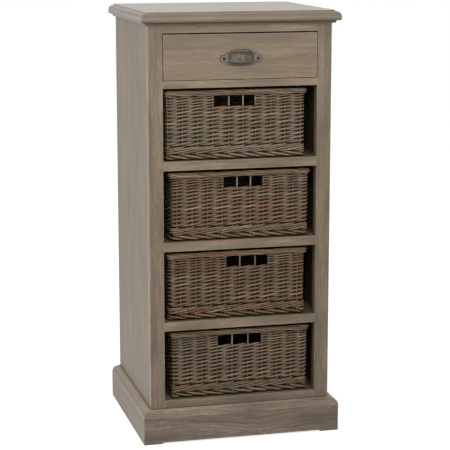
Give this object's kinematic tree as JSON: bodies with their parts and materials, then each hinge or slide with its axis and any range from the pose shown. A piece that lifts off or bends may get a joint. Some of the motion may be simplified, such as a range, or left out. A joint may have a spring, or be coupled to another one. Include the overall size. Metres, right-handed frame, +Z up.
{
  "type": "storage cabinet with baskets",
  "caption": "Tall narrow limed-wood cabinet with a top drawer on a cup pull, and open bays below, each holding a woven willow basket that slides out.",
  "frame": {"origin": "on the floor, under the middle of the outline, cup pull included", "axes": "+Z up, the front with the drawer and baskets faces -Y, +X to the right seen from the front"},
  "size_m": [0.45, 0.398, 0.95],
  "materials": {
    "limed_wood": "grey-brown limed oak with open grain, matt",
    "plain_wood": "unfinished pine",
    "back_board": "stained plywood",
    "aged_pewter": "aged pewter, dull with rubbed edges",
    "dark_steel": "dark oxidised screws",
    "willow": "grey-washed split willow with some red-brown rods"
  },
  "bodies": {
    "cabinet": {"top_board": "limed_wood", "side_panel_left": "limed_wood", "side_panel_right": "limed_wood", "stile_left": "limed_wood", "stile_right": "limed_wood", "top_rail": "limed_wood", "drawer_rail": "limed_wood", "shelf_upper": "limed_wood", "shelf_middle": "limed_wood", "shelf_lower": "limed_wood", "bottom_shelf": "limed_wood", "bottom_rail": "limed_wood", "plinth_front": "limed_wood", "plinth_left": "limed_wood", "plinth_right": "limed_wood", "back_panel": "back_board", "back_stretcher": "plain_wood", "glue_blocks": "plain_wood", "kicker_left": "plain_wood", "kicker_right": "plain_wood", "runner_left": "plain_wood", "runner_right": "plain_wood", "drawer_stops": "plain_wood", "top_screws": "dark_steel", "back_screws": "dark_steel"},
    "drawer": {"drawer_front": "limed_wood", "drawer_side_left": "plain_wood", "drawer_side_right": "plain_wood", "drawer_back": "plain_wood", "drawer_bottom": "plain_wood", "cup_pull": "aged_pewter", "pull_screws": "dark_steel"},
    "basket_1": {"basket_1_sides": "willow", "basket_1_rim": "willow", "basket_1_foot": "willow", "basket_1_floor": "willow", "basket_1_stakes": "willow"},
    "basket_2": {"basket_2_sides": "willow", "basket_2_rim": "willow", "basket_2_foot": "willow", "basket_2_floor": "willow", "basket_2_stakes": "willow"},
    "basket_3": {"basket_3_sides": "willow", "basket_3_rim": "willow", "basket_3_foot": "willow", "basket_3_floor": "willow", "basket_3_stakes": "willow"},
    "basket_4": {"basket_4_sides": "willow", "basket_4_rim": "willow", "basket_4_foot": "willow", "basket_4_floor": "willow", "basket_4_stakes": "willow"}
  },
  "joints": [
    {"name": "drawer_slide", "type": "slide", "parent": "cabinet", "child": "drawer", "axis": [0, -1, 0], "range_m": [0, 0.25]},
    {"name": "basket_1_slide", "type": "slide", "parent": "cabinet", "child": "basket_1", "axis": [0, -1, 0], "range_m": [0, 0.36]},
    {"name": "basket_2_slide", "type": "slide", "parent": "cabinet", "child": "basket_2", "axis": [0, -1, 0], "range_m": [0, 0.36]},
    {"name": "basket_3_slide", "type": "slide", "parent": "cabinet", "child": "basket_3", "axis": [0, -1, 0], "range_m": [0, 0.36]},
    {"name": "basket_4_slide", "type": "slide", "parent": "cabinet", "child": "basket_4", "axis": [0, -1, 0], "range_m": [0, 0.36]}
  ]
}
